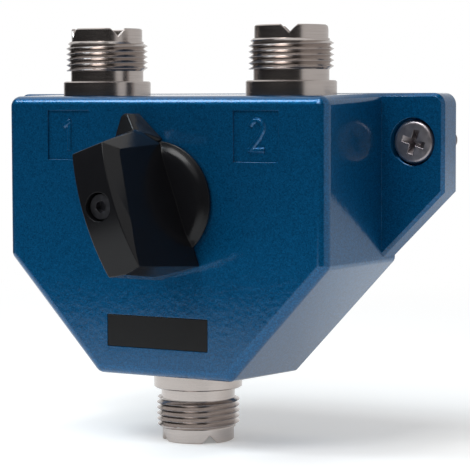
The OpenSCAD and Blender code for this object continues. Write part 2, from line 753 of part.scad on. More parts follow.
module grip() {
    half_l = (grip_up + grip_down) / 2;
    crown_r = (half_l * half_l + grip_crown * grip_crown) / (2 * grip_crown);
    intersection() {
        hull() {
            for (side = [-1, 1]) {
                // the front's corners and the side bevels
                for (along = [grip_up, -grip_down]) corner(knob_point(along, side * grip_w / 2, end_h));
                corner(knob_point(0, side * grip_w / 2, knob_h + 0.5));
                corner(knob_point(grip_up - 1.7, side * side_w / 2, end_h - bevel_l));
                corner(knob_point(1.2, side * side_w / 2, end_h - bevel_l + 1.8));
                // the sides' lower corners
                corner(knob_point(grip_up - 1.2, side * side_w / 2, nose_h + 3));
                corner(knob_point(grip_up - 1.1, side * foot_w / 2, knob_gap));
                corner(knob_point(-tail_l, side * foot_w / 2, knob_gap));
                // the upper end, which slopes out to the pointer
                corner(knob_point((grip_up + nose_start) / 2 + 0.5, side * (nose_base_w / 2 + 1), nose_h + 2));
                for (out = [knob_gap, nose_h]) corner(knob_point(nose_start, side * nose_base_w / 2, out));
            }
            corner(knob_point(-grip_down - 0.5, 0, end_h));
        }
        translate([-side_w, front_y - knob_h + crown_r, shaft_z + (grip_up - grip_down) / 2]) rotate([0, 90, 0])
            cylinder(r = crown_r, h = 2 * side_w, $fn = 256);
    }
}

// The pointer: a low wedge from the grip's upper end to a blunt tip
module pointer() {
    hull() {
        for (side = [-1, 1]) {
            for (along = [nose_start - 3, nose_start]) corner(knob_point(along, side * nose_base_w / 2, nose_h));
            corner(knob_point(pointer_l - 0.3, side * 0.8, tip_h));
            corner(knob_point(pointer_l - 0.6, side * 1.6, knob_gap));
            corner(knob_point(grip_up - 0.5, side * (foot_w / 2 + 0.5), knob_gap));
        }
        for (out = [knob_gap, tip_h - 0.2]) corner(knob_point(pointer_l, 0, out));
    }
}

module knob() {
    color(black) turned() difference() {
        union() {
            grip();
            pointer();
            translate([0, front_y - knob_gap, shaft_z]) rotate([90, 0, 0]) rotate_extrude() polygon([
                [0, 0], [skirt_d / 2, 0], [skirt_d / 2, skirt_t - 0.7], [skirt_d / 2 - skirt_bevel * 0.4, skirt_t - 0.2],
                [skirt_d / 2 - skirt_bevel, skirt_t], [0, skirt_t]]);
        }
        d_bar(shaft_d, shaft_front_y, front_y, seat_gap);
        rod(knob_screw_d + 0.3, front_y - knob_h, front_y, [0, shaft_z]);
        rod(knob_recess_d, front_y - knob_h - 1, front_y - knob_seat_h, [0, shaft_z]);
    }
}

module knob_screw() {
    head_d = knob_recess_d - 0.7;
    head_h = 3.3;
    color(steel) turned() difference() {
        union() {
            rod(knob_screw_d - 2 * press_gap, front_y - knob_seat_h - eps, shaft_front_y + knob_screw_l - 1, [0, shaft_z]);
            rod(head_d, front_y - knob_seat_h - head_h, front_y - knob_seat_h, [0, shaft_z]);
        }
        translate([0, front_y - knob_seat_h - head_h + 1.3, shaft_z]) rotate([90, 0, 0]) cylinder(h = head_h, d = 2.3, $fn = 6);
    }
}

housing();
rear_cover();
cover_screws();
mounting_screws();
label_plate();
port_1_shell();
port_2_shell();
common_shell();
port_1_insulator();
port_2_insulator();
common_insulator();
port_1_contact();
port_2_contact();
common_contact();
port_1_nut();
port_2_nut();
common_nut();
port_1_strip();
port_2_strip();
common_strip();
shaft_bush();
stop_pins();
detent_spring();
detent_screws();
knob();
knob_screw();
shaft();
front_clip();
rear_clip();
detent_wheel();
ground_blade();
rotor();
signal_blade();
blade_rivets();
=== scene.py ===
import json
import math

import bmesh
import bpy
from mathutils import Matrix, Vector


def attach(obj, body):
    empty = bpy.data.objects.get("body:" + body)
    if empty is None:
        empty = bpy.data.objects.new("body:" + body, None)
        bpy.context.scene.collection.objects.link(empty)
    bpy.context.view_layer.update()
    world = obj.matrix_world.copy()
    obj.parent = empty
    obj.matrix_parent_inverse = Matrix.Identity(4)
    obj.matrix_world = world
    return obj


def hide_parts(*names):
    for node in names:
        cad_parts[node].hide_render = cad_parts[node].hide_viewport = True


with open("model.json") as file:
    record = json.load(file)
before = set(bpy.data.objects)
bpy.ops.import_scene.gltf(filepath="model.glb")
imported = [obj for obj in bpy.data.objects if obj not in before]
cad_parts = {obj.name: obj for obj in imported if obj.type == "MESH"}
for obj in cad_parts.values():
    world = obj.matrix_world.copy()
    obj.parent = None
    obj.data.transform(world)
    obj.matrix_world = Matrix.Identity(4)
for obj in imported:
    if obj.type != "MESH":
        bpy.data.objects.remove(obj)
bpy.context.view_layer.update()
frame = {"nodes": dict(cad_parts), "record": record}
nodes = frame["nodes"]
mm = 0.001  # sizes and places below are in mm, and Blender's are in metres

print("stage: frame loaded")


def linearColor(hexCode):
    values = [int(hexCode[i:i + 2], 16) / 255 for i in (1, 3, 5)]
    return tuple(v / 12.92 if v <= 0.04045 else ((v + 0.055) / 1.055) ** 2.4 for v in values) + (1.0,)


white = linearColor("#ffffff")


def addNode(tree, kind, settings=None, links=None):
    # settings: attributes, inputs by name or number, or a ramp's stops as (position, colour) pairs
    # links: input name or number -> (node, output name or number)
    node = tree.nodes.new(kind)
    for key, value in (settings or {}).items():
        if key == "stops":
            elements = node.color_ramp.elements
            for element, (position, color) in zip(elements, (value[0], value[-1])):
                element.position = position
                element.color = color
            for position, color in value[1:-1]:
                elements.new(position).color = color
        elif isinstance(key, str) and hasattr(node, key):
            setattr(node, key, value)
        else:
            node.inputs[key].default_value = value
    for key, (source, output) in (links or {}).items():
        tree.links.new(source.outputs[output], node.inputs[key])
    return node


def newMaterial(name, surface):
    material = bpy.data.materials.new(name)
    material.use_nodes = True
    tree = material.node_tree
    tree.nodes.clear()
    shader = addNode(tree, "ShaderNodeBsdfPrincipled", surface)
    addNode(tree, "ShaderNodeOutputMaterial", {"name": "output"}, {"Surface": (shader, "BSDF")})
    coords = addNode(tree, "ShaderNodeTexCoord")
    return material, tree, shader, coords


def perMm(size):
    # texture scale for a pattern of this size in mm; object coordinates are in metres
    return 1 / (size * mm)


edgeSamples = 6  # every real edge has a small radius that catches the light: a Bevel node gives it

paint = {
    "deep": "#033f64", "body": "#064c77", "flake": "#0c5a8a",
    "mix": (0.1, 0.5, 0.95),  # where the three blues stand among the flakes
    "flakeSize": 0.21,  # mm; real flakes are near 0.05 mm, drawn coarser so that they show
    "flakeStrength": 0.2, "flakeDepth": 0.04,
    "orangePeel": 1.1, "peelStrength": 0.45, "peelDepth": 0.05,
    "edge": 0.16,
    "surface": {"Metallic": 0.6, "Roughness": 0.35, "Specular IOR Level": 0.0,
                "Coat Weight": 1.0, "Coat Roughness": 0.09, "Coat IOR": 1.42},
}


def metallicBluePaint():
    # metallic lacquer, sprayed: a fine sparkle deep in the blue, under a clear coat that mirrors the
    # room a little unevenly
    material, tree, shader, coords = newMaterial("sprayedMetallicBluePaint", paint["surface"])
    flakes = addNode(tree, "ShaderNodeTexVoronoi", {"feature": "F1", "Scale": perMm(paint["flakeSize"])},
                     {"Vector": (coords, "Object")})
    grey = addNode(tree, "ShaderNodeRGBToBW", links={"Color": (flakes, "Color")})
    blues = [linearColor(paint[name]) for name in ("deep", "body", "flake")]
    color = addNode(tree, "ShaderNodeValToRGB", {"stops": list(zip(paint["mix"], blues))},
                    {"Fac": (grey, "Val")})
    tree.links.new(color.outputs["Color"], shader.inputs["Base Color"])
    edge = addNode(tree, "ShaderNodeBevel", {"samples": edgeSamples, "Radius": paint["edge"] * mm})
    peel = addNode(tree, "ShaderNodeTexNoise", {"Scale": perMm(paint["orangePeel"]), "Detail": 2.0},
                   {"Vector": (coords, "Object")})
    bump = addNode(tree, "ShaderNodeBump", {
        "Strength": paint["peelStrength"], "Distance": paint["peelDepth"] * mm},
        {"Height": (peel, "Fac"), "Normal": (edge, "Normal")})
    sparkle = addNode(tree, "ShaderNodeBump", {
        "Strength": paint["flakeStrength"], "Distance": paint["flakeDepth"] * mm},
        {"Height": (grey, "Val"), "Normal": (bump, "Normal")})
    tree.links.new(sparkle.outputs["Normal"], shader.inputs["Normal"])
    tree.links.new(bump.outputs["Normal"], shader.inputs["Coat Normal"])
    return material


metalMarks = {
    "darker": 0.88,  # the marks' colour, as a share of the metal's
    "mix": (0.35, 0.65),
    "rough": (0.75, 1.3),  # the marks change the roughness by these factors
    "depth": 0.02,
}


def switchMetal(name, color, roughness, grain, stretch=(1, 1, 1), bump=0.1, edge=0):
    # one even colour, with faint marks whose size in mm is the grain
    material, tree, shader, coords = newMaterial(name, {"Metallic": 1.0})
    place = addNode(tree, "ShaderNodeMapping", {"Scale": stretch}, {"Vector": (coords, "Object")})
    marks = addNode(tree, "ShaderNodeTexNoise", {"Scale": perMm(grain), "Detail": 3.0},
                    {"Vector": (place, "Vector")})
    plain = linearColor(color)
    darker = tuple(channel * metalMarks["darker"] for channel in plain[:3]) + (1.0,)
    tint = addNode(tree, "ShaderNodeValToRGB", {"stops": list(zip(metalMarks["mix"], (darker, plain)))},
                   {"Fac": (marks, "Fac")})
    tree.links.new(tint.outputs["Color"], shader.inputs["Base Color"])
    smoothest, roughest = metalMarks["rough"]
    rough = addNode(tree, "ShaderNodeMapRange", {
        "To Min": roughness * smoothest, "To Max": roughness * roughest}, {"Value": (marks, "Fac")})
    tree.links.new(rough.outputs["Result"], shader.inputs["Roughness"])
    relief = addNode(tree, "ShaderNodeBump", {"Strength": bump, "Distance": metalMarks["depth"] * mm},
                     {"Height": (marks, "Fac")})
    if edge:
        bevel = addNode(tree, "ShaderNodeBevel", {"samples": edgeSamples, "Radius": edge * mm})
        tree.links.new(bevel.outputs["Normal"], relief.inputs["Normal"])
    tree.links.new(relief.outputs["Normal"], shader.inputs["Normal"])
    return material


mouldMarks = {
    "lighter": 1.12,  # the colour's light spots, as a share of the colour
    "mix": (0.3, 0.7),
    "depth": 0.03,
}


def switchPlastic(name, color, roughness, grain, bump=0.1, edge=0.1, surface=None):
    # one colour, with a faint unevenness whose size in mm is the grain
    looks = {"Roughness": roughness, "IOR": 1.5, **(surface or {})}
    material, tree, shader, coords = newMaterial(name, looks)
    wave = addNode(tree, "ShaderNodeTexNoise", {"Scale": perMm(grain), "Detail": 2.0},
                   {"Vector": (coords, "Object")})
    plain = linearColor(color)
    lighter = tuple(min(1.0, channel * mouldMarks["lighter"]) for channel in plain[:3]) + (1.0,)
    tint = addNode(tree, "ShaderNodeValToRGB", {"stops": list(zip(mouldMarks["mix"], (plain, lighter)))},
                   {"Fac": (wave, "Fac")})
    tree.links.new(tint.outputs["Color"], shader.inputs["Base Color"])
    bevel = addNode(tree, "ShaderNodeBevel", {"samples": edgeSamples, "Radius": edge * mm})
    relief = addNode(tree, "ShaderNodeBump", {"Strength": bump, "Distance": mouldMarks["depth"] * mm},
                     {"Height": (wave, "Fac"), "Normal": (bevel, "Normal")})
    tree.links.new(relief.outputs["Normal"], shader.inputs["Normal"])
    return material


metals = {
    # nickel plate on turned brass: a warm grey mirror, with fine lines round the axis
    "nickel": {"name": "turnedNickelPlate", "color": "#bfb6b1", "roughness": 0.22, "grain": 0.5,
               "stretch": (0.06, 0.06, 4), "bump": 0.15},
    # zinc plate on headed steel: a dull grey shine that breaks up over a slightly rough surface
    "steel": {"name": "zincPlatedSteel", "color": "#aaa3a5", "roughness": 0.36, "grain": 0.6,
              "bump": 0.35, "edge": 0.14},
    # steel blackened in oxide: dark grey, with only a faint gleam on its edges
    "dark_steel": {"name": "blackOxideSteel", "color": "#505054", "roughness": 0.38, "grain": 0.5,
                   "edge": 0.12},
    # silver plate on turned and stamped brass: pale and warm, softly bright
    "silvered": {"name": "silverPlatedBrass", "color": "#d3cdbf", "roughness": 0.25, "grain": 0.6},
    # turned brass: yellow, with a clear shine
    "brass": {"name": "turnedBrass", "color": "#c39b52", "roughness": 0.28, "grain": 0.4},
    # rolled bronze strip: red brown, with a flat satin shine
    "bronze": {"name": "rolledSpringBronze", "color": "#a9713f", "roughness": 0.3, "grain": 0.6},
}

plastics = {
    # black plastic nameplate, rolled with a satin face: almost flat black, and grey where light grazes it
    "label": {"name": "semiGlossBlackLabel", "color": "#0c0c0d", "roughness": 0.4, "grain": 0.9,
              "surface": {"Specular IOR Level": 0.3}},
    # turned white fluoropolymer: milky, with no gloss, and soft where light sinks in
    "ptfe": {"name": "turnedWhiteFluoropolymer", "color": "#e6e3da", "roughness": 0.5, "grain": 0.7,
             "surface": {"Subsurface Weight": 0.1, "Subsurface Radius": (1 * mm, 1 * mm, 1 * mm)}},
    # black knob plastic, moulded in a polished tool: deep black planes that mirror the room softly
    "black": {"name": "glossBlackMouldedPlastic", "color": "#111113", "roughness": 0.2, "grain": 2.2,
              "bump": 0.12, "edge": 0.2, "surface": {"Specular IOR Level": 0.24}},
}

finishes = {"paint": metallicBluePaint()}
for slotName, spec in metals.items():
    finishes[slotName] = switchMetal(**spec)
for slotName, spec in plastics.items():
    finishes[slotName] = switchPlastic(**spec)

for part in frame["record"]["subparts"]:
    mesh = nodes[part["node"]].data
    mesh.materials.clear()
    mesh.materials.append(finishes[part["material_slot"]])

print("stage: finishes")


def shadeByAngle(mesh, sharpDegrees=30):
    mesh.shade_smooth()
    mesh.set_sharp_from_angle(angle=math.radians(sharpDegrees))


def flattenFaces(piece):
    # large flat faces shade flat, and only the small edge faces carry the bend
    flatten = piece.modifiers.new("flatten", "WEIGHTED_NORMAL")
    flatten.mode = "FACE_AREA"
    flatten.weight = 100
    flatten.keep_sharp = True


def newObject(name, bm):
    mesh = bpy.data.meshes.new(name)
    bm.to_mesh(mesh)
    bm.free()
    made = bpy.data.objects.new(name, mesh)
    bpy.context.scene.collection.objects.link(made)
    return made


def addPiece(name, bm, slotName, body, replaced=(), sharpDegrees=30):
    piece = newObject(name, bm)
    piece.data.materials.append(finishes[slotName])
    shadeByAngle(piece.data, sharpDegrees)
    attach(piece, body)
    if replaced:
        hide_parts(*replaced)
    return piece


def addBoolean(piece, tool, operation):
    step = piece.modifiers.new("shape", "BOOLEAN")
    step.operation = operation
    step.solver = "EXACT"
    step.object = tool


def bakeBooleans(piece):
    # the result becomes the piece's mesh, and the tools go
    tools = [step.object for step in piece.modifiers]
    bpy.context.view_layer.update()
    graph = bpy.context.evaluated_depsgraph_get()
    mesh = bpy.data.meshes.new_from_object(piece.evaluated_get(graph))
    piece.modifiers.clear()
    piece.data = mesh
    shadeByAngle(mesh)
    for tool in tools:
        bpy.data.objects.remove(tool, do_unlink=True)


weldDistance = 2e-6  # metres
speckLength = 1e-7


def cleanMesh(bm):
    bmesh.ops.remove_doubles(bm, verts=bm.verts, dist=weldDistance)
    bmesh.ops.dissolve_degenerate(bm, edges=bm.edges, dist=speckLength)
    bmesh.ops.recalc_face_normals(bm, faces=bm.faces)


def loftRings(rings):
    # rings of equal length, joined in order and closed at both ends
    bm = bmesh.new()
    rows = [[bm.verts.new(Vector(p) * mm) for p in ring] for ring in rings]
    count = len(rows[0])
    for lower, upper in zip(rows, rows[1:]):
        for i in range(count):
            j = (i + 1) % count
            bm.faces.new((lower[i], lower[j], upper[j], upper[i]))
    bm.faces.new(rows[0][::-1])
    bm.faces.new(rows[-1])
    cleanMesh(bm)
    return bm


def joinColumns(columns, closed):
    # each column is the outline at one angle; a closed one joins its last point to its first
    bm = bmesh.new()
    grid = [[bm.verts.new(Vector(p) * mm) for p in column] for column in columns]
    count = len(grid[0])
    for left, right in zip(grid, grid[1:]):
        for j in range(count if closed else count - 1):
            k = (j + 1) % count
            bm.faces.new((left[j], right[j], right[k], left[k]))
    cleanMesh(bm)
    return bm


# one turn of a thread, a flat root and then a rounded crest: (share of the pitch, share of the depth)
threadTurn = ((0.0, 0), (0.03, 0.02), (0.43, 0.84), (0.48, 0.97), (0.51, 1), (0.55, 0.97), (0.6, 0.84))


def helixPoints(thread, share):
    # the thread's outline at one angle (share of a turn): (radius, height) pairs from foot to head
    points = []
    turns = int((thread["head"] - thread["foot"]) / thread["pitch"]) + 2
    for turn in range(-1, turns):
        for at, rise in threadTurn:
            height = thread["foot"] + thread["pitch"] * (turn + at + share)
            radius = thread["root"] + (thread["crest"] - thread["root"]) * rise
            if height <= thread["foot"] or height >= thread["head"]:
                height = min(max(height, thread["foot"]), thread["head"])
                radius = thread["root"]
            lead = thread["root"] + (thread["head"] - height) * thread["leadIn"]
            points.append((min(radius, lead), height))
    return points


portShell = {
    "columns": 160,
    "axisY": -13.6,
    "flange": (8.45, 2.2),  # radius, height above the seat
    "lip": 0.5, "lipIn": 0.02, "lipOut": 0.03,  # a thin ring at the flange's edge laps the painted seat
    "neckRadius": 7.05,
    "thread": {"foot": 4.2, "head": 9.9, "pitch": 25.4 / 24, "crest": 7.9375, "root": 7.14, "leadIn": 1.2},
    "rim": (6.88, 12.4),
    "bore": 6.0, "shelf": 2.8,  # the mouth's floor
    "spigot": (6.95, 5.0), "spigotEdge": 0.3,  # radius, bore; it goes into the wall
    "notches": 4, "notch": (3.0, 1.5),  # width at the mouth, depth
    "edge": 0.22,
    "sharpDegrees": 34,
}

ports = {
    # CAD node, axis X, seat Z, up or down, length of the spigot, angle of a notch
    "threadedPort1": ("port_1_shell", -20.4, 26.85, 1, 6.2, 52),
    "threadedPort2": ("port_2_shell", 20.4, 26.85, 1, 6.2, 25),
    "threadedCommonPort": ("common_shell", 0, -27.15, -1, 6.5, 50),
}


def portOutline(share, fromNotch, spigotLength):
    # (radius, height) pairs round the shell's wall, from the spigot's bore up to the mouth and back
    spec = portShell
    edge, lip, bore, foot = spec["edge"], spec["lip"], spec["bore"], -spigotLength
    flangeR, flangeTop = spec["flange"]
    rimR, rimTop = spec["rim"]
    spigotR, spigotBore = spec["spigot"]
    lipIn, lipOut = flangeR - spec["lipIn"], flangeR + spec["lipOut"]
    outline = [(spigotBore, foot), (spigotR - spec["spigotEdge"], foot), (spigotR, foot + spec["spigotEdge"]),
               (spigotR, 0), (lipIn, 0), (lipIn, -lip), (lipOut, -lip), (lipOut, flangeTop - edge),
               (flangeR - edge, flangeTop), (spec["neckRadius"], flangeTop),
               (spec["neckRadius"], spec["thread"]["foot"])]
    outline += helixPoints(spec["thread"], share)
    outline.append((rimR, spec["thread"]["head"]))
    width, depth = spec["notch"]
    for radius, below in ((rimR, edge), (rimR - edge, 0), (bore + edge, 0), (bore, edge)):
        across = abs(math.sin(fromNotch)) * radius
        outline.append((radius, rimTop - below - depth * max(0.0, 1 - 2 * across / width)))
    return outline + [(bore, spec["shelf"]), (spigotBore, spec["shelf"])]


def makePortShell(name, node, axisX, seat, up, spigotLength, notchDegrees):
    notchGap = 2 * math.pi / portShell["notches"]
    columns = []
    for i in range(portShell["columns"] + 1):
        share = i / portShell["columns"]
        angle = 2 * math.pi * share
        fromNotch = abs((angle - math.radians(notchDegrees) + notchGap / 2) % notchGap - notchGap / 2)
        outline = portOutline(share if up > 0 else 1 - share, fromNotch, spigotLength)
        columns.append([(axisX + radius * math.cos(angle), portShell["axisY"] + radius * math.sin(angle),
                         seat + up * height) for radius, height in outline])
    addPiece(name, joinColumns(columns, closed=True), "nickel", "box", (node,), portShell["sharpDegrees"])


for name, sizes in ports.items():
    makePortShell(name, *sizes)
print("stage: ports")

# the knob's points are (along the pointer, across it, out from the housing's face)
knobShape = {
    "shaft": (0, -27.2, 6.7),
    "turn": -19.3,  # degrees about Y, towards port 1
    "up": 10.9, "down": 12.2, "half": 3.4,
    "ends": 18.5, "crown": 20.6,  # the grip's crest is an arc between these
    "crestSteps": 28,
    # the bevel on each side: how far its lower edge falls and spreads, and how fast it gets there
    # along the grip; it runs from a share of the length to a place, and falls a little more at the nose
    "bevel": {"drop": 3.9, "dropRate": 1.6, "spread": 0.95, "spreadRate": 3,
              "fromShare": 0.03, "to": 9.3, "noseFrom": 8.9, "noseDrop": 1.12},
    "gripCorners": [(9.7, 4.35, 8.1), (9.8, 4.5, 0.41), (-13.9, 4.5, 0.41), (12.7, 3.2, 7.0),
                    (13.5, 2.2, 5.0), (13.5, 2.2, 0.41)],  # on each side
    "gripTail": [(-12.7, 0, 18.4), (-13.95, 0, 9.0)],
    "pointerCorners": [(10.5, 2.2, 5.0), (13.5, 2.2, 5.0), (17.0, 0.8, 3.2), (16.7, 1.6, 0.41),
                       (10.4, 5.0, 0.41)],
    "pointerTip": [(17.3, 0, 3.0), (17.3, 0, 0.41)],
    "recess": 2.6, "recessFloor": 16.3, "recessMouth": 22.0, "recessSides": 64,
    # the skirt's (radius, out) pairs, with a dished border
    "skirt": [(0.001, 0.4), (11.2, 0.4), (11.2, 0.95), (10.9, 1.08), (10.5, 1.2), (10.2, 1.36), (9.85, 1.58),
              (9.4, 1.76), (8.8, 1.87), (8.0, 1.9), (0.001, 1.9)],
    "skirtSides": 128,
    "roundEdge": 0.28, "edgeSteps": 3, "pointerEdge": 0.8,  # the pointer's is a share of the grip's
    "flatDegrees": 0.9, "edgeDegrees": 9,  # what is one plane, and what is an edge to round
}


def knobPlace():
    shaft = Vector(knobShape["shaft"]) * mm
    return Matrix.Translation(shaft) @ Matrix.Rotation(math.radians(knobShape["turn"]), 4, "Y")


def roundedHull(points, roundEdge):
    bm = bmesh.new()
    for along, across, out in points:
        bm.verts.new(Vector((across, -out, along)) * mm)
    made = bmesh.ops.convex_hull(bm, input=bm.verts)
    inside = [v for v in made["geom_interior"] if isinstance(v, bmesh.types.BMVert)]
    bmesh.ops.delete(bm, geom=inside, context="VERTS")
    bmesh.ops.dissolve_limit(bm, angle_limit=math.radians(knobShape["flatDegrees"]),
                             verts=bm.verts, edges=bm.edges)
    edgeAngle = math.radians(knobShape["edgeDegrees"])
    sharp = [e for e in bm.edges if len(e.link_faces) == 2 and e.calc_face_angle(0) > edgeAngle]
    bmesh.ops.bevel(bm, geom=sharp, offset=roundEdge * mm, offset_type="OFFSET",
                    segments=knobShape["edgeSteps"], profile=0.5, affect="EDGES", clamp_overlap=True)
    bmesh.ops.recalc_face_normals(bm, faces=bm.faces)
    bm.transform(knobPlace())
    return bm


def mirrored(corners):
    # both sides of the pointer's plane
    return [(along, side * across, out) for side in (-1, 1) for along, across, out in corners]


def gripPoints():
    spec, bevel = knobShape, knobShape["bevel"]
    length = spec["up"] + spec["down"]
    middle = (spec["up"] - spec["down"]) / 2
    rise = spec["crown"] - spec["ends"]
    radius = ((length / 2) ** 2 + rise ** 2) / (2 * rise)
    edges = []
    for i in range(spec["crestSteps"] + 1):
        along = middle + length / 2 * (2 * i / spec["crestSteps"] - 1)
        out = spec["crown"] - radius + math.sqrt(radius ** 2 - (along - middle) ** 2)
        edges.append((along, spec["half"], out))
        # the side bevel's lower edge follows the crest and runs out at the tail
        share = (along + spec["down"]) / length
        if share > bevel["fromShare"] and along < bevel["to"]:
            drop = bevel["drop"] * min(1.0, share * bevel["dropRate"])
            if along >= bevel["noseFrom"]:
                drop *= bevel["noseDrop"]
            spread = bevel["spread"] * min(1.0, share * bevel["spreadRate"])
            edges.append((along, spec["half"] + spread, out - drop))
    return mirrored(edges + spec["gripCorners"]) + spec["gripTail"]


def roundBar(profile, count):
    # turned about the knob's axis: (radius, out) pairs
    bm = loftRings([[(r * math.sin(2 * math.pi * i / count), -out, r * math.cos(2 * math.pi * i / count))
                     for i in range(count)] for r, out in profile])
    bm.transform(knobPlace())
    return bm


def makeKnob():
    spec = knobShape
    pointer = mirrored(spec["pointerCorners"]) + spec["pointerTip"]
    recess = [(spec["recess"], spec["recessFloor"]), (spec["recess"], spec["recessMouth"])]
    grip = roundedHull(gripPoints(), spec["roundEdge"])
    piece = addPiece("pointerKnob", grip, "black", "selector", ("knob",))
    for bm, operation in ((roundedHull(pointer, spec["roundEdge"] * spec["pointerEdge"]), "UNION"),
                          (roundBar(spec["skirt"], spec["skirtSides"]), "UNION"),
                          (roundBar(recess, spec["recessSides"]), "DIFFERENCE")):
        addBoolean(piece, newObject("knobTool", bm), operation)
    bakeBooleans(piece)
    flattenFaces(piece)


makeKnob()
print("stage: knob")

casting = {"flatDegrees": 0.3, "sharpDegrees": 32}


def makeHousing():
    # the CAD casting with its hull facets welded, so that the rounded front edge shades as one curve
    bm = bmesh.new()
    bm.from_mesh(nodes["housing"].data)
    bmesh.ops.remove_doubles(bm, verts=bm.verts, dist=weldDistance)
    bmesh.ops.dissolve_limit(bm, angle_limit=math.radians(casting["flatDegrees"]),
                             verts=bm.verts, edges=bm.edges)
    piece = addPiece("castHousing", bm, "paint", "box", ("housing",), casting["sharpDegrees"])
    flattenFaces(piece)


makeHousing()
print("stage: housing")

mountingScrew = {
    "places": {"Left": -41.3, "Right": 41.3}, "height": 17.65,
    "columns": 48,
    "axis": 0.0005,  # radius at the axis, where the points weld into one
    "headFront": -5.1, "headRadius": 4.0, "seat": -2.5,
    "headEdge": 0.7, "headDome": 0.9, "headSteps": 6,
    "shank": 1.7, "tip": (1.3, 11.5),  # radius, place
    "thread": {"foot": 0.3, "head": 11.0, "pitch": 0.7, "crest": 2.0, "root": 1.58, "leadIn": 1.4},
    "crossTurn": 17, "crossWidth": 1.3, "crossReach": 2.7, "crossDepth": 2.1,
    "crossFloor": (0.7, 0.5),  # reach at the floor, and width there as a share
    "clear": 0.5,  # the cutter starts this far in front of the head
}


def screwOutline(share):
    # (radius, place along Y) pairs at one angle, from the middle of the head to the tip
    spec = mountingScrew
    outline = [(spec["axis"], spec["headFront"])]
    for step in range(spec["headSteps"] + 1):
        bend = math.pi / 2 * step / spec["headSteps"]
        outline.append((spec["headRadius"] - spec["headEdge"] * (1 - math.sin(bend)),
                        spec["headFront"] + spec["headEdge"] * (1 - math.cos(bend)) * spec["headDome"]))
    outline += [(spec["headRadius"], spec["seat"]), (spec["shank"], spec["seat"]),
                (spec["shank"], spec["thread"]["foot"])]
    return outline + helixPoints(spec["thread"], share) + [spec["tip"], (spec["axis"], spec["tip"][1])]


def crossWing(at, turn):
    # one bar of the cross, tapered to its floor
    spec = mountingScrew
    floorReach, floorWidth = spec["crossFloor"]
    wide = spec["crossWidth"] / 2
    rings = []
    for reach, half, place in ((spec["crossReach"], wide, spec["headFront"] - spec["clear"]),
                               (floorReach, wide * floorWidth, spec["headFront"] + spec["crossDepth"])):
        rings.append([(-reach, place, -half), (reach, place, -half),
                      (reach, place, half), (-reach, place, half)])
    bm = loftRings(rings)
    bm.transform(Matrix.Translation(Vector((at, 0, spec["height"])) * mm)
                 @ Matrix.Rotation(math.radians(turn), 4, "Y"))
    return bm


def makeMountingScrew(name, at):
    spec = mountingScrew
    columns = []
    for i in range(spec["columns"] + 1):
        share = i / spec["columns"]
        angle = 2 * math.pi * share
        columns.append([(at + r * math.cos(angle), y, spec["height"] + r * math.sin(angle))
                        for r, y in screwOutline(share)])
    piece = addPiece(name, joinColumns(columns, closed=False), "steel", "box", ("mounting_screws",))
    for quarter in (0, 90):
        addBoolean(piece, newObject("screwTool", crossWing(at, spec["crossTurn"] + quarter)), "DIFFERENCE")
    bakeBooleans(piece)


for side, at in mountingScrew["places"].items():
    makeMountingScrew("mountingScrew" + side, at)
print("stage: screws")

digit = {
    "tall": 2.9,  # half the height
    "stroke": 0.5, "slope": 0.36, "raised": 0.3,
    "sunk": 0.05, "apart": 0.03,  # into the face; between strokes that cross
    "face": -26.85, "middle": 18.9,
    "oneAt": -20.6, "twoAt": 20.4,
    "hookRadius": 1.35, "hookBelow": 1.4, "hookDegrees": range(165, -26, -19),
    "sharpDegrees": 40,
}


def strokeRing(path, width):
    # outline of a flat stroke along a path of (x, z) points
    left, right = [], []
    for i, (x, z) in enumerate(path):
        before, after = path[max(i - 1, 0)], path[min(i + 1, len(path) - 1)]
        along = Vector((after[0] - before[0], after[1] - before[1])).normalized()
        left.append((x - along.y * width / 2, z + along.x * width / 2))
        right.append((x + along.y * width / 2, z - along.x * width / 2))
    return left + right[::-1]


def makeDigit(name, at, paths):
    bm = bmesh.new()
    for number, path in enumerate(paths):
        rows = []
        for width, place in ((digit["stroke"] + 2 * digit["slope"], digit["face"] + digit["sunk"]),
                             (digit["stroke"], digit["face"] - digit["raised"] + digit["apart"] * number)):
            rows.append([bm.verts.new(Vector((at + x, place, digit["middle"] + z)) * mm)
                         for x, z in strokeRing(path, width)])
        count = len(rows[0])
        for row in rows:
            for i in range(len(path) - 1):
                bm.faces.new((row[i], row[i + 1], row[count - i - 2], row[count - i - 1]))
        low, high = rows
        for i in range(count):
            j = (i + 1) % count
            bm.faces.new((low[i], low[j], high[j], high[i]))
    bmesh.ops.recalc_face_normals(bm, faces=bm.faces)
    addPiece(name, bm, "paint", "box", sharpDegrees=digit["sharpDegrees"])


def makeDigits():
    tall, radius = digit["tall"], digit["hookRadius"]
    hook = []
    for degrees in digit["hookDegrees"]:
        turn = math.radians(degrees)
        hook.append((radius * math.cos(turn), tall - digit["hookBelow"] + radius * math.sin(turn)))
    flag, stem = [(-1.05, tall - 1.2), (0.45, tall - 0.3)], [(0.3, tall), (0.3, -tall)]
    neck, foot = [(0.55, -0.3), (-1.35, -tall + 0.45)], [(-1.75, -tall + 0.43), (1.7, -tall + 0.43)]
    makeDigit("digitOne", digit["oneAt"], [flag, stem])
    makeDigit("digitTwo", digit["twoAt"], [hook + neck, foot])


makeDigits()
print("stage: numbers")

view = {
    "position": (200.802, -348.096, 26.37),
    "aim": (0.7, -0.47, -1.1),
    "rollDegrees": -0.17,
    "lens": 156.63, "sensor": 36,
    "clipStart": 10, "clipEnd": 20000,
}


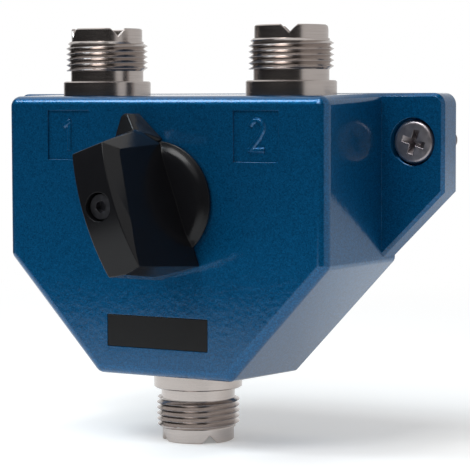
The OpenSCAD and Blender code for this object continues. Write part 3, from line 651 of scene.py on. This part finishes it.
def makeCamera():
    camera = bpy.data.objects.new("camera", bpy.data.cameras.new("camera"))
    bpy.context.scene.collection.objects.link(camera)
    camera.data.sensor_width = view["sensor"]
    camera.data.lens = view["lens"]
    camera.data.clip_start = view["clipStart"] * mm
    camera.data.clip_end = view["clipEnd"] * mm
    camera.location = Vector(view["position"]) * mm
    camera.rotation_mode = "QUATERNION"
    direction = Vector(view["aim"]) - Vector(view["position"])
    turned = direction.to_track_quat("-Z", "Y").to_matrix().to_4x4()
    roll = Matrix.Rotation(math.radians(view["rollDegrees"]), 4, "Z")
    camera.rotation_quaternion = (turned @ roll).to_quaternion()
    bpy.context.scene.camera = camera


lamps = {
    # name: place, aim, size, watts, colour
    "keyLamp": ((-330, -280, 510), (0, -20, 0), 190, 1.35, "#e2f4ff"),
    "frontLamp": ((-60, -480, 560), (0, -10, 0), 320, 2.2, "#ffffff"),
    "overheadLamp": ((-60, -200, 520), (0, -10, 10), 90, 0.35, "#ffffff"),
}


def makeLamps():
    for name, (place, aim, size, watts, hexCode) in lamps.items():
        lamp = bpy.data.lights.new(name, "AREA")
        lamp.size = size * mm
        lamp.energy = watts
        lamp.color = linearColor(hexCode)[:3]
        lampObject = bpy.data.objects.new(name, lamp)
        bpy.context.scene.collection.objects.link(lampObject)
        lampObject.location = Vector(place) * mm
        lampObject.rotation_euler = (Vector(aim) - Vector(place)).to_track_quat("-Z", "Y").to_euler()


room = {
    "lit": 0.5,  # what the room gives to matt surfaces
    # what gloss mirrors, by the cosine to a direction: a dim half of the room, with a soft edge
    "dimSide": (-0.515, -0.857, 0), "dimEdge": (-0.06, 0.04), "bright": 0.72, "dim": 0.024,
    # a soft box overhead, between two limits across and above one height
    "boxSide": (0.866, 0.5, 0), "boxStart": (-0.62, -0.52), "boxEnd": (-0.02, -0.09),
    "boxAbove": (0.36, 0.46), "boxStrength": 1.0,
    # and the white backdrop behind the object
    "backSide": (-0.5, 0.857, 0), "backEdge": (0.86, 0.95), "backStrength": 1.0,
}


def makeRoom():
    world = bpy.data.worlds.new("studio")
    world.use_nodes = True
    tree = world.node_tree
    tree.nodes.clear()
    coords = addNode(tree, "ShaderNodeTexCoord")
    parts = {}
    for name, direction, (start, end), (before, after) in (
            ("half", room["dimSide"], room["dimEdge"], (room["bright"], room["dim"])),
            ("boxStart", room["boxSide"], room["boxStart"], (0, 1)),
            ("boxEnd", room["boxSide"], room["boxEnd"], (0, 1)),
            ("boxAbove", (0, 0, 1), room["boxAbove"], (0, room["boxStrength"])),
            ("back", room["backSide"], room["backEdge"], (0, room["backStrength"]))):
        cosine = addNode(tree, "ShaderNodeVectorMath", {"operation": "DOT_PRODUCT", 1: direction},
                         {0: (coords, "Generated")})
        parts[name] = addNode(tree, "ShaderNodeMapRange", {
            "From Min": start, "From Max": end, "To Min": before, "To Max": after},
            {"Value": (cosine, "Value")})
    sides = addNode(tree, "ShaderNodeMath", {"operation": "MULTIPLY"},
                    {0: (parts["boxStart"], 0), 1: (parts["boxEnd"], 0)})
    box = addNode(tree, "ShaderNodeMath", {"operation": "MULTIPLY"},
                  {0: (sides, 0), 1: (parts["boxAbove"], 0)})
    halfAndBox = addNode(tree, "ShaderNodeMath", {"operation": "MAXIMUM"},
                         {0: (parts["half"], 0), 1: (box, 0)})
    seen = addNode(tree, "ShaderNodeMath", {"operation": "MAXIMUM"},
                   {0: (halfAndBox, 0), 1: (parts["back"], 0)})
    shown = addNode(tree, "ShaderNodeBackground", {"Color": white, "Strength": 1.0})
    mirrorLight = addNode(tree, "ShaderNodeBackground", {"Color": white}, {"Strength": (seen, 0)})
    lit = addNode(tree, "ShaderNodeBackground", {"Color": white, "Strength": room["lit"]})
    ray = addNode(tree, "ShaderNodeLightPath")
    withGloss = addNode(tree, "ShaderNodeMixShader", links={
        0: (ray, "Is Glossy Ray"), 1: (lit, 0), 2: (mirrorLight, 0)})
    clear = addNode(tree, "ShaderNodeMath", {"operation": "MAXIMUM"},
                    {0: (ray, "Is Camera Ray"), 1: (ray, "Is Transmission Ray")})
    mix = addNode(tree, "ShaderNodeMixShader", links={0: (clear, 0), 1: (withGloss, 0), 2: (shown, 0)})
    addNode(tree, "ShaderNodeOutputWorld", links={"Surface": (mix, 0)})
    bpy.context.scene.world = world


# a white painted table: matt and pale, and its faint glow stands for the light that it gets all round
studioFloor = {
    "level": -39.56, "half": 700,
    "surface": {"Base Color": linearColor("#f4f4f3"), "Roughness": 0.8, "Specular IOR Level": 0.2,
                "Emission Color": white, "Emission Strength": 0.22},
    "fadeFrom": 110, "fadeTo": 330,  # between these the floor passes into the white backdrop
}


def makeFloor():
    half, level = studioFloor["half"] * mm, studioFloor["level"] * mm
    mesh = bpy.data.meshes.new("floor")
    corners = [(-half, -half, level), (half, -half, level), (half, half, level), (-half, half, level)]
    mesh.from_pydata(corners, [], [(0, 1, 2, 3)])
    floor = bpy.data.objects.new("floor", mesh)
    bpy.context.scene.collection.objects.link(floor)
    material, tree, shader, coords = newMaterial("paintedPaleFloor", studioFloor["surface"])
    reach = addNode(tree, "ShaderNodeVectorMath", {"operation": "LENGTH"}, {0: (coords, "Object")})
    fade = addNode(tree, "ShaderNodeMapRange", {
        "interpolation_type": "SMOOTHSTEP", "From Min": studioFloor["fadeFrom"] * mm,
        "From Max": studioFloor["fadeTo"] * mm}, {"Value": (reach, "Value")})
    ray = addNode(tree, "ShaderNodeLightPath")
    backdrop = addNode(tree, "ShaderNodeEmission", {"Color": white, "Strength": 1.0})
    clear = addNode(tree, "ShaderNodeBsdfTransparent")
    beyond = addNode(tree, "ShaderNodeMixShader", links={
        0: (ray, "Is Camera Ray"), 1: (clear, 0), 2: (backdrop, 0)})
    mix = addNode(tree, "ShaderNodeMixShader", links={0: (fade, "Result"), 1: (shader, 0), 2: (beyond, 0)})
    tree.links.new(mix.outputs[0], tree.nodes["output"].inputs["Surface"])
    mesh.materials.append(material)


makeCamera()
makeLamps()
makeRoom()
makeFloor()
bpy.context.scene.view_settings.view_transform = "Standard"
print("stage: camera, lamps and floor")
